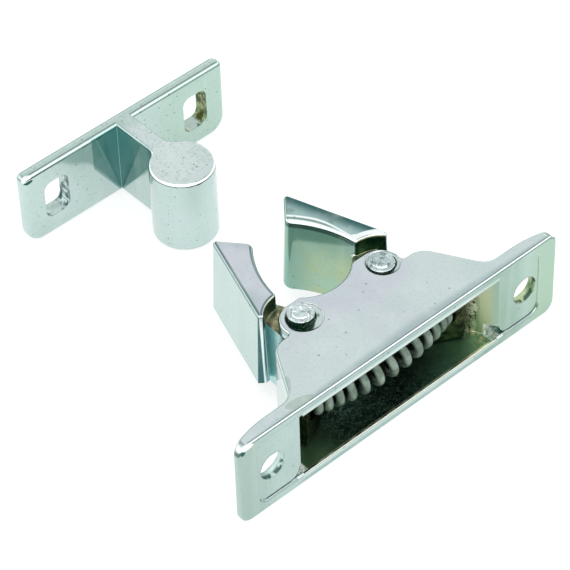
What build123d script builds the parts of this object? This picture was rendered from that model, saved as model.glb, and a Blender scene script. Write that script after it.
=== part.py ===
from build123d import *
import os
from math import asin, cos, pi, sin, sqrt

# Oven door latch: a sprung jaw catch and the strike that it grips.
# X runs along the screw flange, Y from the flange's rear face towards the strike, and Z up.
# The origin lies midway between the flange's screw holes, on its rear face.
# All sizes are in millimetres.

# Housing: a casting with a screw flange, two decks and flared side walls
flange_length = 95.0
flange_thickness = 3.9
flange_end_thickness = 1.8
flange_root_land = 6.8
flange_end_fillet = 0.6
flange_corner = 3.0
housing_height = 24.0
deck_thickness = 2.8
deck_edge = 0.6
body_root_width = 59.4
body_front_width = 43.6
body_depth = 17.8
body_root_fillet = 4.0
shoulder_fillet = 5.0
side_wall = 1.8
window_width = 60.8
window_flare_depth = 4.2
window_notch = 3.0
window_notch_depth = 3.0

# Screw holes of the flange, in shallow pads
hole_spacing = 76.0
hole_diameter = 6.9
spot_face_diameter = 10.6
spot_face_depth = 1.3
pad_depth = 0.4
pad_end_margin = 5.0
pad_top_margin = 2.0
pad_bottom_margin = 2.6
pad_corner = 3.0

# Ears of the decks and the mouth between them
ear_spacing = 23.2
ear_depth = 19.4
ear_radius = 5.4
ear_notch_fillet = 0.8
mouth_radius = 11.2
mouth_depth = 32.8
mouth_lip_fillet = 1.6

# Pivot pins, free to shift sideways in their slots
pivot_spacing = 24.1
pivot_depth = 19.9
pair_x = 0.25
pin_diameter = 5.0
pin_head_diameter = 6.3
pin_foot_height = 0.9
left_head_height = 1.8
right_head_height = 0.75
pin_head_fillet = 0.3
pin_crown_diameter = 4.8
pin_crown_height = 0.4
pin_crown_taper = 35.0
pin_head_gap = 0.1
slot_clearance = 0.2
float_travel = 1.0

# Rings that the riveting tool coined round the pin heads
coin_depth = 0.35
left_coin_diameter = 8.4
left_coin_x = -11.1
left_coin_y = 19.4
right_coin_diameter = 7.8
right_coin_x = 12.8
right_coin_y = 19.9

# Jaws: noses ahead of the decks, measured from the pivot of the right jaw
jaw_height = 20.7
jaw_rise = 1.0
jaw_draft = 2.3
nose_x = -7.2
nose_y = 23.7
nose_fillet = 1.8
tip_x = -1.15
tip_y = 30.9
tip_fillet = 0.8
heel_x = 7.3
heel_y = 5.85
grip_radius = 27.0
recess_radius = 8.0
ridge_fillet = 0.8
heel_fillet = 0.4
jaw_edge = 0.7

# Hubs and tails of the jaws between the decks, each tail with a pocket, a seat and a spigot
hub_radius = 5.0
hub_deck_gap = 0.4
bore_clearance = 0.1
web_overlap = 1.0
web_inner_x = -0.8
web_outer_x = 4.6
wall_gap = 0.3
tail_neck = 4.0
tail_rib_x = 16.6
tail_rib_y = 9.2
tail_back_y = 5.4
tail_toe = 1.5
tail_front_y = 16.6
seat_x = 20.5
seat_y = 10.5
pocket_clearance = 0.5
spigot_diameter = 4.6
spigot_length = 3.6
spigot_chamfer = 0.6

# Spring, bowed towards the window
spring_diameter = 9.4
wire_diameter = 2.0
spring_turns = 13
spring_bow_y = 6.8
spring_crowding = 0.28
spring_points_per_turn = 12
wire_sides = 8
seat_gap = 0.15

# Strike: a slotted plate with a web and a round boss
strike_x = 3.9
strike_face_y = 98.4
strike_length = 61.0
strike_height = 21.0
strike_thickness = 4.1
strike_top_corner = 1.4
strike_bottom_corner = 4.5
strike_end_fillet = 2.2
strike_edge = 1.2
strike_slot_spacing = 42.6
strike_slot_width = 7.2
strike_slot_height = 10.6
strike_slot_corner = 2.2
web_thickness = 5.0
web_fillet = 3.0
boss_diameter = 15.8
boss_reach = 20.6
boss_top_edge = 0.8
boss_bottom_edge = 1.2

# Places that follow from the sizes above
deck_top = housing_height / 2
chamber_height = housing_height - 2 * deck_thickness
ear_x = ear_spacing / 2
pin_x = pivot_spacing / 2
jaw_top = deck_top + jaw_rise
end_arc_x = body_root_width / 2 + flange_root_land
end_arc_length = flange_length / 2 - end_arc_x
end_drop = flange_thickness - flange_end_thickness
end_arc_radius = (end_arc_length**2 + end_drop**2) / (2 * end_drop)
hub_height = chamber_height - 2 * hub_deck_gap
side_slope = (body_root_width - body_front_width) / 2 / (body_depth - flange_thickness)
wall_step = side_wall * sqrt(1 + side_slope**2)
bow = seat_y - spring_bow_y
bow_radius = (seat_x**2 + bow**2) / (2 * bow)
seat_tilt = asin(seat_x / bow_radius)
pin_length = housing_height - 2 * coin_depth + 2 * pin_head_gap
coil_length = 2 * bow_radius * seat_tilt - wire_diameter - 2 * seat_gap
coil_radius = (spring_diameter - wire_diameter) / 2
pair_plane = Plane((pair_x, 0, 0))
pivot_plane = Plane((pair_x + pin_x, pivot_depth, 0))
strike_middle = (strike_x, strike_face_y, strike_height / 2 - deck_top)
strike_plane = Plane(strike_middle, x_dir=(1, 0, 0), z_dir=(0, -1, 0))
boss_plane = Plane((strike_x, strike_face_y - boss_reach, -deck_top))
seat_plane = Plane((pair_x + seat_x, seat_y, 0), z_dir=(-cos(seat_tilt), -sin(seat_tilt), 0))


def wall_x(y):
    """Half the clear width between the side walls at a depth y."""
    return body_root_width / 2 - side_slope * (y - flange_thickness) - wall_step


def tail_x(y):
    """Outer limit of a tail at a depth y, measured from the middle of the pair of jaws."""
    return wall_x(y) - wall_gap - float_travel - pair_x


def coil_point(share):
    """Point on the spring's wire at a share of its length, from the left end to the right."""
    advance = coil_length * (share - spring_crowding * sin(2 * pi * share) / (2 * pi))
    swing = (advance - coil_length / 2) / bow_radius
    turn = 2 * pi * spring_turns * share
    reach = bow_radius - coil_radius * cos(turn)
    return (
        pair_x + reach * sin(swing),
        spring_bow_y + bow_radius - reach * cos(swing),
        coil_radius * sin(turn),
    )


os.makedirs("parts", exist_ok=True)

# Housing
with BuildPart() as housing:
    with BuildSketch(Plane.XY.offset(-deck_top)) as deck_outline:
        with BuildLine():
            front = Line((-end_arc_x, flange_thickness), (end_arc_x, flange_thickness))
            left_arc = RadiusArc((-flange_length / 2, flange_end_thickness), front @ 0, end_arc_radius)
            right_arc = RadiusArc(front @ 1, (flange_length / 2, flange_end_thickness), end_arc_radius)
            Polyline(right_arc @ 1, (flange_length / 2, 0), (-flange_length / 2, 0), left_arc @ 0)
        make_face()
        with BuildLine():
            Polyline(
                (-body_root_width / 2, flange_thickness),
                (-body_front_width / 2, body_depth),
                (body_front_width / 2, body_depth),
                (body_root_width / 2, flange_thickness),
                close=True,
            )
        make_face()
        with Locations((-ear_x, ear_depth), (ear_x, ear_depth)):
            Circle(ear_radius)
        with Locations((0, (body_depth + ear_depth + ear_radius) / 2)):
            Rectangle(ear_spacing, ear_depth + ear_radius - body_depth)
        with Locations((0, mouth_depth)):
            Circle(mouth_radius, mode=Mode.SUBTRACT)
        inner_corners = deck_outline.vertices().filter_by(lambda v: abs(v.X) < end_arc_x - 1)
        roots = inner_corners.filter_by_position(Axis.Y, flange_thickness - 0.1, flange_thickness + 0.1)
        fillet(roots, body_root_fillet)
        front_corners = deck_outline.vertices().filter_by_position(Axis.Y, body_depth - 0.1, body_depth + 0.1)
        fillet(front_corners.sort_by(Axis.X)[0:1] + front_corners.sort_by(Axis.X)[-1:], shoulder_fillet)
        notch_corners = deck_outline.vertices().filter_by_position(Axis.Y, body_depth - 0.1, body_depth + 0.1)
        fillet(notch_corners.filter_by(lambda v: abs(v.X) < ear_x + ear_radius), ear_notch_fillet)
        lips = deck_outline.vertices().filter_by_position(Axis.Y, ear_depth + 1, ear_depth + ear_radius + 1)
        fillet(lips.filter_by(lambda v: abs(v.X) < ear_x - 1), mouth_lip_fillet)
    extrude(amount=housing_height)
    flange_ends = housing.edges().filter_by(lambda e: abs(e.center().X) > flange_length / 2 - flange_corner)
    fillet(flange_ends.filter_by(Axis.Y), flange_corner)
    end_rims = housing.edges().filter_by(lambda e: abs(e.center().X) > flange_length / 2 - flange_corner)
    end_rims = end_rims.filter_by_position(Axis.Y, flange_end_thickness - 0.1, flange_thickness)
    fillet(end_rims.filter_by_position(Axis.Z, 0.1 - deck_top, deck_top - 0.1), flange_end_fillet)
    fillet(housing.edges().group_by(Axis.Z)[0] + housing.edges().group_by(Axis.Z)[-1], deck_edge)
    # Chamber between the decks, open behind through the window and ahead to the jaws
    with BuildSketch(Plane.XY.offset(-chamber_height / 2)):
        with BuildLine():
            Polyline(
                (-window_width / 2, 0),
                (-wall_x(window_flare_depth), window_flare_depth),
                (-wall_x(body_depth), body_depth),
                (-body_root_width / 2, body_depth),
                (-body_root_width / 2, mouth_depth),
                (body_root_width / 2, mouth_depth),
                (body_root_width / 2, body_depth),
                (wall_x(body_depth), body_depth),
                (wall_x(window_flare_depth), window_flare_depth),
                (window_width / 2, 0),
                close=True,
            )
        make_face()
    extrude(amount=chamber_height, mode=Mode.SUBTRACT)
    # Notches at the window's lower corners
    with BuildSketch(Plane.XZ):
        with Locations((0, (window_notch - chamber_height) / 2)):
            Rectangle(window_width + 2 * window_notch, window_notch)
        with Locations((0, window_notch - chamber_height / 2)):
            with GridLocations(window_width + 2 * window_notch, 0, 2, 1):
                Circle(window_notch, mode=Mode.SUBTRACT)
    extrude(amount=-window_notch_depth, mode=Mode.SUBTRACT)
    # Pads and screw holes
    with BuildSketch(Plane.XZ.offset(-pad_depth)):
        pad_base = pad_bottom_margin - deck_top
        pad_top = deck_top - pad_top_margin
        pad_outer = flange_length / 2 - pad_end_margin
        with Locations((0, (pad_base + pad_top) / 2)):
            RectangleRounded(2 * pad_outer, pad_top - pad_base, pad_corner)
            Rectangle(window_width - 2, pad_top - pad_base, mode=Mode.SUBTRACT)
    extrude(amount=pad_depth, mode=Mode.SUBTRACT)
    with BuildSketch(Plane.XZ):
        with GridLocations(hole_spacing, 0, 2, 1):
            Circle(hole_diameter / 2)
    extrude(amount=-2 * flange_thickness, mode=Mode.SUBTRACT)
    with BuildSketch(Plane.XZ.offset(spot_face_depth - flange_thickness)):
        with GridLocations(hole_spacing, 0, 2, 1):
            Circle(spot_face_diameter / 2)
    extrude(amount=-flange_thickness, mode=Mode.SUBTRACT)
    # Slots for the pivot pins, in rings that are coined into both decks
    with BuildSketch(Plane.XY.offset(-deck_top)):
        with Locations((pair_x + float_travel / 2, pivot_depth)):
            with GridLocations(pivot_spacing, 0, 2, 1):
                SlotCenterToCenter(float_travel, pin_diameter + 2 * slot_clearance)
    extrude(amount=housing_height, mode=Mode.SUBTRACT)
    with BuildSketch(Plane.XY.offset(-deck_top), Plane.XY.offset(deck_top - coin_depth)):
        with Locations((left_coin_x, left_coin_y)):
            Circle(left_coin_diameter / 2)
        with Locations((right_coin_x, right_coin_y)):
            Circle(right_coin_diameter / 2)
    extrude(amount=coin_depth, mode=Mode.SUBTRACT)
housing.part.label = "housing"
export_step(housing.part, "parts/housing.step")

# Right jaw: a nose with draft, scooped round the ear, on a hub and a sprung tail
with BuildPart() as right_jaw:
    with BuildSketch(pivot_plane.offset(jaw_top)) as nose_outline:
        with BuildLine():
            Polyline((nose_x, nose_y), (tip_x, tip_y), (heel_x, heel_y), (0, 0), (0, hub_radius))
            RadiusArc((0, hub_radius), (nose_x, nose_y), -grip_radius)
        make_face()
        Circle(recess_radius, mode=Mode.SUBTRACT)
        fillet(nose_outline.vertices().sort_by(Axis.Y)[-1], tip_fillet)
        fillet(nose_outline.vertices().sort_by(Axis.X)[0], nose_fillet)
        fillet(nose_outline.vertices().sort_by_distance((0, recess_radius))[0], ridge_fillet)
        fillet(nose_outline.vertices().group_by(Axis.Y)[0], heel_fillet)
    extrude(amount=-jaw_height, taper=-jaw_draft)
    fillet(right_jaw.edges().group_by(Axis.Z)[0] + right_jaw.edges().group_by(Axis.Z)[-1], jaw_edge)
    # Hub, with a web to the nose, between the decks
    with BuildSketch(pivot_plane.offset(-hub_height / 2)):
        Circle(hub_radius)
        with BuildLine():
            Polyline(
                (-hub_radius, 0),
                (web_inner_x, recess_radius + web_overlap),
                (web_outer_x, recess_radius),
                (hub_radius, 0),
                close=True,
            )
        make_face()
    extrude(amount=hub_height)
    # Tail that runs out along the side wall
    with BuildSketch(pair_plane.offset(-hub_height / 2)):
        with BuildLine():
            Polyline(
                (pin_x - hub_radius / 2, pivot_depth - tail_neck),
                (tail_rib_x, tail_rib_y),
                (tail_x(tail_back_y) - tail_toe, tail_back_y),
                (tail_x(tail_back_y + tail_toe), tail_back_y + tail_toe),
                (tail_x(tail_front_y), tail_front_y),
                (pin_x + hub_radius, pivot_depth),
                close=True,
            )
        make_face()
    extrude(amount=hub_height)
    # Pocket for the spring, with a spigot that its last turns fit
    with BuildSketch(seat_plane):
        Circle(spring_diameter / 2 + pocket_clearance)
    extrude(amount=seat_x, mode=Mode.SUBTRACT)
    with BuildSketch(seat_plane):
        Circle(spigot_diameter / 2)
    extrude(amount=spigot_length)
    spigot_end = seat_plane.origin + seat_plane.z_dir * spigot_length
    chamfer(right_jaw.edges().filter_by(GeomType.CIRCLE).sort_by_distance(spigot_end)[0], spigot_chamfer)
    # Bore for the pivot pin
    with BuildSketch(pivot_plane):
        Circle(pin_diameter / 2 + bore_clearance)
    extrude(amount=jaw_top, both=True, mode=Mode.SUBTRACT)
right_jaw.part.label = "right_jaw"
export_step(right_jaw.part, "parts/right_jaw.step")

# Left jaw
with BuildPart() as left_jaw:
    mirror(right_jaw.part, about=Plane.YZ.offset(pair_x))
left_jaw.part.label = "left_jaw"
export_step(left_jaw.part, "parts/left_jaw.step")

# Pivot pins: a plain head below, a peened head with a crown above
for side, head_height in (("left", left_head_height), ("right", right_head_height)):
    head_plane = Plane((pair_x + (pin_x if side == "right" else -pin_x), pivot_depth, pin_length / 2))
    with BuildPart() as pin:
        with BuildSketch(head_plane):
            Circle(pin_diameter / 2)
        extrude(amount=-pin_length)
        with BuildSketch(head_plane.offset(-pin_length)):
            Circle(pin_head_diameter / 2)
        extrude(amount=-pin_foot_height)
        with BuildSketch(head_plane):
            Circle(pin_head_diameter / 2)
        extrude(amount=head_height)
        fillet(pin.edges().group_by(Axis.Z)[0] + pin.edges().group_by(Axis.Z)[-1], pin_head_fillet)
        with BuildSketch(head_plane.offset(head_height - pin_head_fillet)):
            Circle(pin_crown_diameter / 2)
        extrude(amount=pin_crown_height + pin_head_fillet, taper=pin_crown_taper)
    pin.part.label = side + "_pin"
    export_step(pin.part, "parts/" + side + "_pin.step")

# Spring: a coil on a bowed axis, its turns crowded at both ends
coil_steps = spring_turns * spring_points_per_turn
with BuildPart() as spring:
    with BuildLine() as coil:
        Polyline(*[coil_point(step / coil_steps) for step in range(coil_steps + 1)])
    with BuildSketch(Plane(coil.line @ 0, z_dir=coil.line % 0)):
        RegularPolygon(wire_diameter / 2, wire_sides)
    sweep(transition=Transition.RIGHT)
spring.part.label = "spring"
export_step(spring.part, "parts/spring.step")

# Strike: a slotted plate, and a web that carries the boss in front of it
with BuildPart() as strike:
    with BuildSketch(strike_plane) as plate_outline:
        Rectangle(strike_length, strike_height)
        fillet(plate_outline.vertices().group_by(Axis.Y)[0], strike_bottom_corner)
        fillet(plate_outline.vertices().group_by(Axis.Y)[-1], strike_top_corner)
    extrude(amount=-strike_thickness)
    back_ends = strike.faces().sort_by(Axis.Y)[-1].edges().filter_by(Axis.Z)
    fillet(back_ends, strike_end_fillet)
    fillet(strike.faces().sort_by(Axis.Y)[0].edges(), strike_edge)
    with BuildSketch(boss_plane) as web_outline:
        with Locations((0, boss_reach / 2)):
            Rectangle(web_thickness, boss_reach + strike_thickness)
        Circle(boss_diameter / 2)
        web_roots = web_outline.vertices().filter_by_position(Axis.Y, 0, boss_reach)
        fillet(web_roots, web_fillet)
    extrude(amount=strike_height)
    boss_arcs = strike.edges().filter_by(GeomType.CIRCLE).filter_by(lambda e: e.length > 2 * boss_diameter)
    fillet(boss_arcs.sort_by(Axis.Z)[-1], boss_top_edge)
    boss_arcs = strike.edges().filter_by(GeomType.CIRCLE).filter_by(lambda e: e.length > 2 * boss_diameter)
    fillet(boss_arcs.sort_by(Axis.Z)[0], boss_bottom_edge)
    with BuildSketch(strike_plane):
        with GridLocations(strike_slot_spacing, 0, 2, 1):
            RectangleRounded(strike_slot_width, strike_slot_height, strike_slot_corner)
    extrude(amount=-strike_thickness, mode=Mode.SUBTRACT)
strike.part.label = "strike"
export_step(strike.part, "parts/strike.step")
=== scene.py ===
import math

import bpy
from mathutils import Matrix, Vector


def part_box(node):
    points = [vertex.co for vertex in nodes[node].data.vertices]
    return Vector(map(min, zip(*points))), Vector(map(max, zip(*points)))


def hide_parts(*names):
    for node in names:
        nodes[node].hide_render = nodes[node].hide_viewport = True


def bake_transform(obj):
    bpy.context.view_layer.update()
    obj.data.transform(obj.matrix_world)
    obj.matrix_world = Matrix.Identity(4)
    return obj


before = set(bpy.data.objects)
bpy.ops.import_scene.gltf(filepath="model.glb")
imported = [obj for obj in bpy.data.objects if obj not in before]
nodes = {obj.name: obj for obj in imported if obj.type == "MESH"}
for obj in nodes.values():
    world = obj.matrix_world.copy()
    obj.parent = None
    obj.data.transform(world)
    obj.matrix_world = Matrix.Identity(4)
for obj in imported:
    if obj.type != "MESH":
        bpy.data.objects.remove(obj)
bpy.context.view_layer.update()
scene = bpy.context.scene

MM = 0.001


def mm(*lengths):
    """A vector from lengths in millimetres."""
    return Vector(lengths) * MM


# Camera, solved from the picture: its lens in 570 px, where it stands and how it leans
IMAGE_SIZE = 570
FOCAL_PIXELS = 2931.8
SENSOR_WIDTH = 36
CAMERA_AZIMUTH = math.radians(-40.75)
CAMERA_ELEVATION = math.radians(45.01)
CAMERA_ROLL = math.radians(-2.06)
CAMERA_DISTANCE = 664.5 * MM
CAMERA_TARGET = mm(2.17, 40.94, -3.0)

# The catch: where it lies, its screw holes, window, chamber and pads
FLOOR_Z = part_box("housing")[0].z
HOLE_X = 38.0 * MM
HOLE_RADIUS = 3.45 * MM
WINDOW_HALF_WIDTH = 30.0 * MM
CHAMBER_HALF_WIDTH = 30.6 * MM
CHAMBER_HALF_HEIGHT = 9.3 * MM
PAD_START_X = 31.0 * MM
PAD_HALF_HEIGHT = 10.8 * MM

# Jaws: their pivots and tops, and their edges seen from the pivot
JAW_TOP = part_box("right_jaw")[1].z
LEFT_PIVOT = mm(-11.8, 19.9, 0)
RIGHT_PIVOT = mm(12.3, 19.9, 0)
GRIP_RADIUS = 27.0 * MM
GRIP_AHEAD = 5.35 * MM
RECESS_RADIUS = 8.0 * MM
OUTER_EDGE_AWAY = 8.7 * MM
OUTER_EDGE_FACING = (0.948, 0.317)
TAIL_HALF_HEIGHT = 8.9 * MM

# Strike: its web, plate, boss and slots
STRIKE_X = 3.9 * MM
STRIKE_FACE_Y = 98.4 * MM
WEB_HALF = 2.5 * MM
BOSS_Y = 77.8 * MM
BOSS_RADIUS = 7.9 * MM
SLOT_WALLS_X = (-21.4 * MM, 29.2 * MM)
SLOT_WALLS_Y = (98.6 * MM, 102.3 * MM)
SLOT_WALLS_Z = (-6.7 * MM, 4.3 * MM)
# The part of the plate and of the web painted as mirroring the other: its size and its lower edge's slope
PLATE_MIRROR_WIDTH = 7.6 * MM
PLATE_MIRROR_RISE = 1.54
WEB_MIRROR_LENGTH = 13.0 * MM
WEB_MIRROR_RISE = 1.31

# The spring's coil, on its bowed axis
PAIR_X = 0.25 * MM
COIL_TURNS = 13
COIL_DIAMETER = 9.4 * MM
WIRE_DIAMETER = 2.0 * MM
COIL_BOW_Y = 6.8 * MM
SEAT_X = 20.5 * MM
SEAT_Y = 10.5 * MM
SEAT_GAP = 0.15 * MM
COIL_CROWDING = 0.28
COIL_STEPS_PER_TURN = 40
WIRE_SIDES = 20

# Floor and overhead light
FLOOR_HALF = 6.0
FLOOR_GAP = 0.02 * MM
LIGHT_SIZE = 1.2
LIGHT_POWER = 6.0
LIGHT_PLACE = Vector((-0.2, 0.1, 1.4))
LIGHT_TARGET = Vector((0, 0.03, 0))

# Half size of a mark along the axis that it runs right through
THROUGH = 1.0

# Colours of the plating, linear
MINT = (0.46, 0.575, 0.55, 1)
DEEP_MINT = (0.39, 0.51, 0.48, 1)
SKY_GREY = (0.52, 0.59, 0.58, 1)
LILAC = (0.52, 0.54, 0.58, 1)
STREAK_GREY = (0.62, 0.68, 0.67, 1)
GRAIN_GREY = (0.16, 0.2, 0.2, 1)
PIT_BLACK = (0.05, 0.08, 0.08, 1)
# Painted sheen, highlight line and dark reflection lines along edges
SHEEN_SILVER = (0.86, 0.9, 0.9, 1)
EDGE_SILVER = (0.93, 0.96, 0.95, 1)
EDGE_TEAL = (0.03, 0.09, 0.09, 1)
# Painted glints on corners and in the chamber, and a painted dark reflection on corners and on the right
# jaw's top
GLINT = (0.95, 0.98, 0.97, 1)
DARK_TEAL = (0.028, 0.10, 0.095, 1)

# Colours of the housing
RIGHT_DECK = (0.51, 0.60, 0.56, 1)
DECK_CLOUD = (0.42, 0.52, 0.52, 1)
# Painted shade along the decks' rear edge
DECK_SHADE = (0.20, 0.29, 0.30, 1)
SHOULDER_STAIN = (0.35, 0.43, 0.37, 1)
RING_SAGE = (0.42, 0.56, 0.46, 1)
RING_FLECK = (0.06, 0.16, 0.03, 1)
FLANGE_GREEN = (0.30, 0.44, 0.36, 1)
RIGHT_END = (0.37, 0.52, 0.40, 1)
LEFT_END = (0.36, 0.475, 0.43, 1)
# Painted dark line and painted highlight along the window's rims
RIM_LINE = (0.22, 0.34, 0.34, 1)
LIP_LIGHT = (0.85, 0.92, 0.90, 1)
# Painted shade on the sunk pads' steps
PAD_EDGE = (0.24, 0.33, 0.32, 1)
BORE_PALE = (0.55, 0.68, 0.65, 1)
BORE_OLIVE = (0.44, 0.53, 0.33, 1)
BORE_STAIN = (0.03, 0.09, 0.055, 1)

# Colours of the chamber
OLIVE = (0.055, 0.115, 0.075, 1)
DARK_OLIVE = (0.010, 0.027, 0.018, 1)
LEFT_FLOOR = (0.34, 0.60, 0.32, 1)
RIGHT_FLOOR = (0.40, 0.85, 0.55, 1)
FLOOR_SPECK = (0.20, 0.30, 0.25, 1)
GOLD_DUST = (0.62, 0.55, 0.30, 1)
FLARE_MINT = (0.33, 0.47, 0.38, 1)
FLARE_GOLD = (0.46, 0.51, 0.32, 1)
OLD_GOLD = (0.42, 0.36, 0.18, 1)
BRIGHT_GOLD = (0.98, 0.92, 0.72, 1)
# Painted highlights in the chamber's lower corners
CORNER_GREEN = (0.33, 0.42, 0.32, 1)
# Painted highlight along the window's lower edge
CREAM = (0.9, 0.88, 0.74, 1)

# Colours of the jaws
# Painted shade on the jaws' recess walls
RECESS_DARK = (0.008, 0.050, 0.028, 1)
RECESS_LIGHT = (0.05, 0.15, 0.08, 1)
RECESS_FOOT = (0.46, 0.68, 0.68, 1)
HUB_BROWN = (0.12, 0.12, 0.07, 1)
HUB_GOLD = (0.46, 0.42, 0.25, 1)
TAIL_DARK = (0.008, 0.014, 0.007, 1)
TAIL_LIGHT = (0.07, 0.08, 0.035, 1)
# Painted reflection and painted highlight on the right jaw's top
CROWN_GREEN = (0.29, 0.43, 0.41, 1)
CROWN_SMEAR = (0.10, 0.15, 0.13, 1)
ROLLED_LIGHT = (0.80, 0.86, 0.84, 1)
ROLLED_LINE = (0.20, 0.29, 0.26, 1)
# The right jaw's grip painted as a reflection, and a painted dark line under its top edge
GRIP_GREEN = (0.38, 0.55, 0.42, 1)
GRIP_YELLOW = (0.43, 0.54, 0.33, 1)
GRIP_RIM = (0.22, 0.40, 0.34, 1)
UNDER_EDGE = (0.03, 0.075, 0.06, 1)
LEFT_CROWN = (0.40, 0.46, 0.48, 1)
# Painted dark reflection band and painted highlight on the left jaw's heel
HEEL_TEAL = (0.055, 0.14, 0.15, 1)
HEEL_LIGHT = (0.85, 0.92, 0.92, 1)

# Colours of the strike
STRIKE_MINT = (0.51, 0.62, 0.60, 1)
STRIKE_RIGHT = (0.43, 0.57, 0.50, 1)
STRIKE_TOP = (0.55, 0.62, 0.60, 1)
STRIKE_TOP_REAR = (0.42, 0.52, 0.48, 1)
# Painted dark reflections where the strike's plate and web meet
MIRROR_TEAL = (0.19, 0.378, 0.367, 1)
MIRROR_LOW = (0.14, 0.30, 0.285, 1)
CAST_SAND = (0.22, 0.30, 0.27, 1)
SLOT_TEAL = (0.05, 0.10, 0.10, 1)
SLOT_SILVER = (0.46, 0.56, 0.55, 1)
SLOT_OLIVE = (0.045, 0.06, 0.02, 1)
SLOT_SAGE = (0.25, 0.30, 0.14, 1)

# Colours of the pins and the spring
PIN_BRIGHT = (0.56, 0.62, 0.62, 1)
PIN_CLOUD = (0.36, 0.43, 0.43, 1)
PIN_STREAK = (0.10, 0.17, 0.14, 1)
# Painted shade on the pins' sides
PIN_SIDE = (0.005, 0.028, 0.014, 1)
WIRE_DARK = (0.13, 0.18, 0.14, 1)
WIRE_LIGHT = (0.27, 0.345, 0.285, 1)
WIRE_SCRATCH = (0.07, 0.10, 0.07, 1)
# Painted shade on the coil's far side
WIRE_FAR = (0.006, 0.012, 0.006, 1)

# Colours of the room
WHITE = (1, 1, 1, 1)
FLOOR_PAPER = (0.36, 0.38, 0.37, 1)
LOW_SKY = (1.45, 1.5, 1.5, 1)
HIGH_SKY = (1.16, 1.18, 1.20, 1)
CEILING = (0.16, 0.22, 0.22, 1)
FRONT_LIGHT = (1.75, 1.8, 1.8, 1)
BACK_WALL = (0.62, 0.68, 0.67, 1)
FRONT_WALL = (0.05, 0.09, 0.09, 1)


# Camera
def camera_axes():
    """Right, up and back of the camera, in the shared frame."""
    back = Vector((
        math.sin(CAMERA_AZIMUTH) * math.cos(CAMERA_ELEVATION),
        -math.cos(CAMERA_AZIMUTH) * math.cos(CAMERA_ELEVATION),
        math.sin(CAMERA_ELEVATION),
    ))
    level = Vector((math.cos(CAMERA_AZIMUTH), math.sin(CAMERA_AZIMUTH), 0))
    rise = back.cross(level)
    right = math.cos(CAMERA_ROLL) * level + math.sin(CAMERA_ROLL) * rise
    up = -math.sin(CAMERA_ROLL) * level + math.cos(CAMERA_ROLL) * rise
    return right, up, back


def place_camera():
    right, up, back = camera_axes()
    data = bpy.data.cameras.new("camera")
    data.sensor_width = SENSOR_WIDTH
    data.lens = SENSOR_WIDTH * FOCAL_PIXELS / IMAGE_SIZE
    data.clip_start = 0.01
    data.clip_end = 20
    camera = bpy.data.objects.new("camera", data)
    scene.collection.objects.link(camera)
    turn = Matrix((right, up, back)).transposed().to_4x4()
    camera.matrix_world = Matrix.Translation(CAMERA_TARGET + back * CAMERA_DISTANCE) @ turn
    scene.camera = camera


# Spring
def coil_point(share):
    """Middle of the wire at a share of the coil, and the coil's axis point beside it."""
    bow = SEAT_Y - COIL_BOW_Y
    bow_radius = (SEAT_X**2 + bow**2) / (2 * bow)
    tilt = math.asin(SEAT_X / bow_radius)
    length = 2 * bow_radius * tilt - WIRE_DIAMETER - 2 * SEAT_GAP
    advance = length * (share - COIL_CROWDING * math.sin(2 * math.pi * share) / (2 * math.pi))
    swing = (advance - length / 2) / bow_radius
    turn = 2 * math.pi * COIL_TURNS * share
    radius = (COIL_DIAMETER - WIRE_DIAMETER) / 2
    centre_y = COIL_BOW_Y + bow_radius

    def at(reach, rise):
        return Vector((PAIR_X + reach * math.sin(swing), centre_y - reach * math.cos(swing), rise))

    return at(bow_radius - radius * math.cos(turn), radius * math.sin(turn)), at(bow_radius, 0)


def coil_half(name, first, last):
    """A closed round wire along the coil between two shares of it."""
    steps = round(COIL_TURNS * COIL_STEPS_PER_TURN * (last - first))
    nudge = 0.0002
    verts, faces = [], []
    for step in range(steps + 1):
        share = first + (last - first) * step / steps
        middle, axis = coil_point(share)
        ahead = coil_point(min(share + nudge, 1))[0] - coil_point(max(share - nudge, 0))[0]
        ahead.normalize()
        out = middle - axis
        out = (out - out.dot(ahead) * ahead).normalized()
        side = ahead.cross(out)
        for k in range(WIRE_SIDES):
            angle = 2 * math.pi * k / WIRE_SIDES
            verts.append(middle + WIRE_DIAMETER / 2 * (math.cos(angle) * out + math.sin(angle) * side))
    for step in range(steps):
        for k in range(WIRE_SIDES):
            a = step * WIRE_SIDES + k
            b = step * WIRE_SIDES + (k + 1) % WIRE_SIDES
            faces.append((a, b, b + WIRE_SIDES, a + WIRE_SIDES))
    faces.append(tuple(range(WIRE_SIDES - 1, -1, -1)))
    faces.append(tuple(range(steps * WIRE_SIDES, (steps + 1) * WIRE_SIDES)))
    mesh = bpy.data.meshes.new(name)
    mesh.from_pydata(verts, [], faces)
    mesh.validate()
    for polygon in mesh.polygons:
        polygon.use_smooth = len(polygon.vertices) == 4
    half = bpy.data.objects.new(name, mesh)
    scene.collection.objects.link(half)
    return half


def make_spring():
    left = coil_half("spring_left_half", 0.0, 0.5)
    right = coil_half("spring_right_half", 0.5, 1.0)
    wire = spring_wire()
    for half, jaw, seat_x in ((left, "left_jaw", -SEAT_X), (right, "right_jaw", SEAT_X)):
        half.data.materials.append(wire)
        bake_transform(half)
        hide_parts("spring")


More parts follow.
